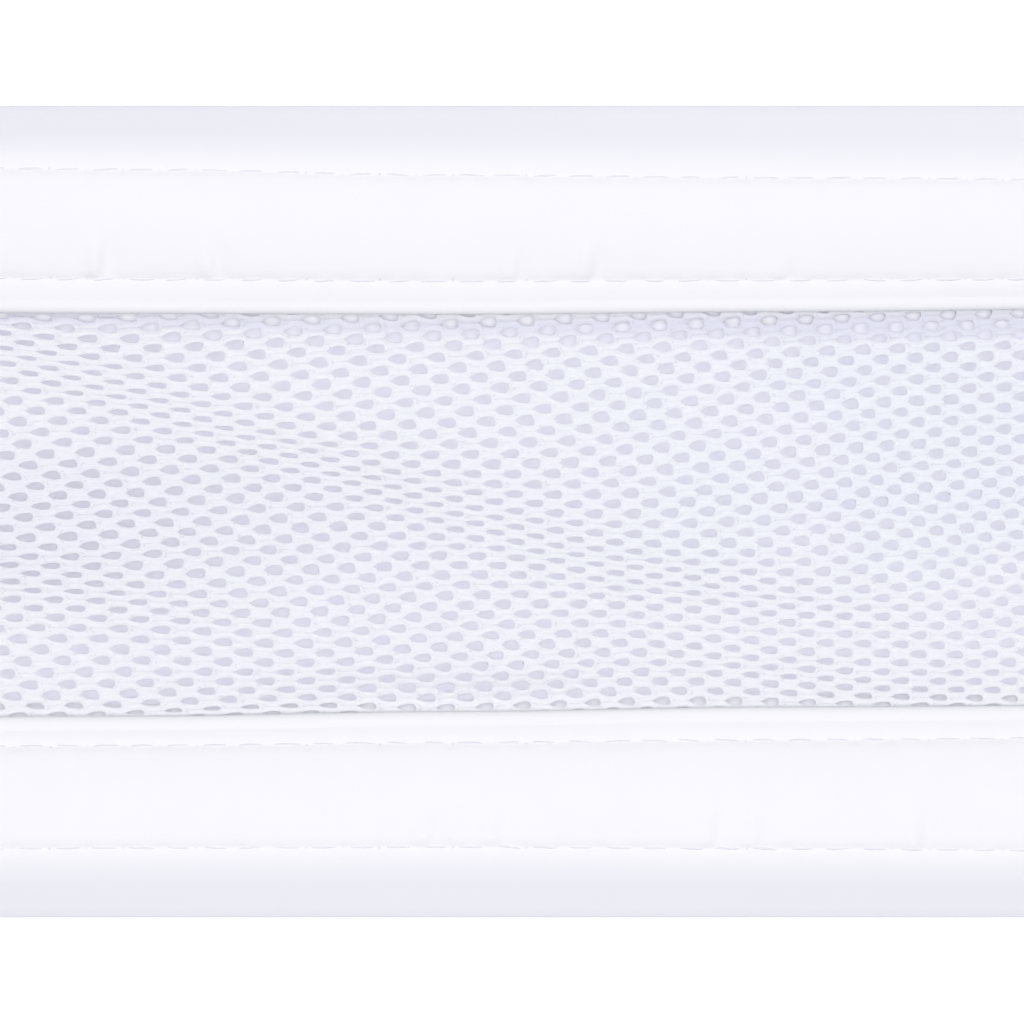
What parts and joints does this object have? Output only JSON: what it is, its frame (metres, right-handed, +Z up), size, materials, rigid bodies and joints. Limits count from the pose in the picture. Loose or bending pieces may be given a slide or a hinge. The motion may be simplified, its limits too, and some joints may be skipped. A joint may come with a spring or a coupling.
{
  "type": "mesh bed rail protector",
  "caption": "Cut length of a bed rail protector lying flat: a rippled open-knit mesh panel held between folded, topstitched cloth bands along its long sides.",
  "frame": {"origin": "on the surface that the strip lies on, under the middle of its bounding box", "axes": "+X along the strip, +Y across it towards the upper band, +Z up out of the surface"},
  "size_m": [0.15, 0.0892, 0.0052],
  "materials": {
    "band_cloth": "smooth matt white woven cloth with a faint lavender cast and white lockstitching",
    "knit_mesh": "soft white warp-knit mesh with teardrop holes and a fine fuzz round them"
  },
  "bodies": {
    "root": {"mesh_panel": "knit_mesh", "upper_band": "band_cloth", "lower_band": "band_cloth"}
  },
  "joints": []
}
